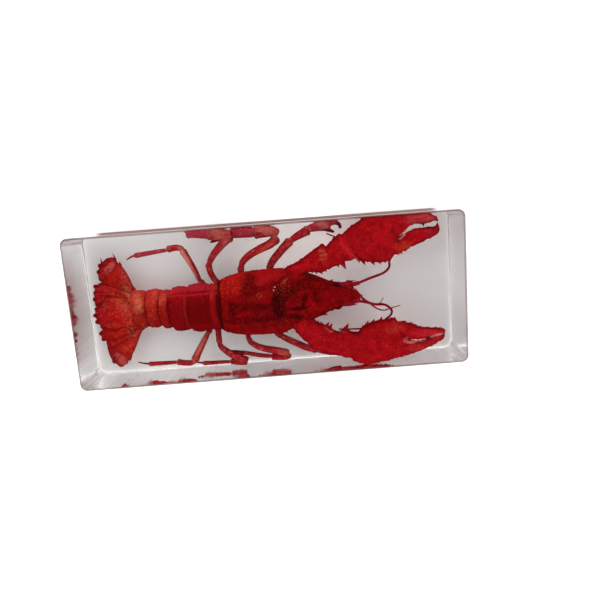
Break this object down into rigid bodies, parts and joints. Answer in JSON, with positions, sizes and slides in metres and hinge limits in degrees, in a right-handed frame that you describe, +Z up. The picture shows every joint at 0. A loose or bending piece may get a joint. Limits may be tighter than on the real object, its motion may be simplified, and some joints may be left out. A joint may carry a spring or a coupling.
{
  "type": "crayfish in resin block",
  "caption": "Dried red crayfish, whole with claws, legs and tail fan spread, sealed in a clear rectangular resin block that lies flat on its largest face.",
  "frame": {"origin": "middle of the block's bottom face, which is the face behind the crayfish", "axes": "+X along the block to the crayfish's head, +Y to the crayfish's left side, +Z up, out of its back"},
  "size_m": [0.11, 0.043, 0.027],
  "materials": {
    "clear_resin": "polished clear cast resin, see-through",
    "carapace": "satin shell, bright red flanks and dark maroon back",
    "abdomen": "satin shell, dark maroon turning orange to the rear",
    "tail_fan": "satin shell, orange red with crimson rims",
    "claws": "granular deep red shell with violet red tips",
    "legs": "thin red shell, violet red to the tips",
    "feelers": "dark red, thin and ringed",
    "eyes": "glossy black"
  },
  "bodies": {
    "root": {"resin_lower_half": "clear_resin", "resin_upper_half": "clear_resin", "carapace": "carapace", "abdomen_segment_1": "abdomen", "abdomen_segment_2": "abdomen", "abdomen_segment_3": "abdomen", "abdomen_segment_4": "abdomen", "abdomen_segment_5": "abdomen", "abdomen_segment_6": "abdomen", "telson": "tail_fan", "uropod_inner_left": "tail_fan", "uropod_outer_left": "tail_fan", "uropod_inner_right": "tail_fan", "uropod_outer_right": "tail_fan", "claw_arm_left": "claws", "claw_wrist_left": "claws", "claw_palm_left": "claws", "claw_finger_left": "claws", "claw_arm_right": "claws", "claw_wrist_right": "claws", "claw_palm_right": "claws", "claw_finger_right": "claws", "leg_1_left": "legs", "leg_2_left": "legs", "leg_3_left": "legs", "leg_4_left": "legs", "leg_1_right": "legs", "leg_2_right": "legs", "leg_3_right": "legs", "leg_4_right": "legs", "antenna_left": "feelers", "antenna_right": "feelers", "antennule_left": "feelers", "antennule_right": "feelers", "eye_left": "eyes", "eye_right": "eyes"}
  },
  "joints": []
}
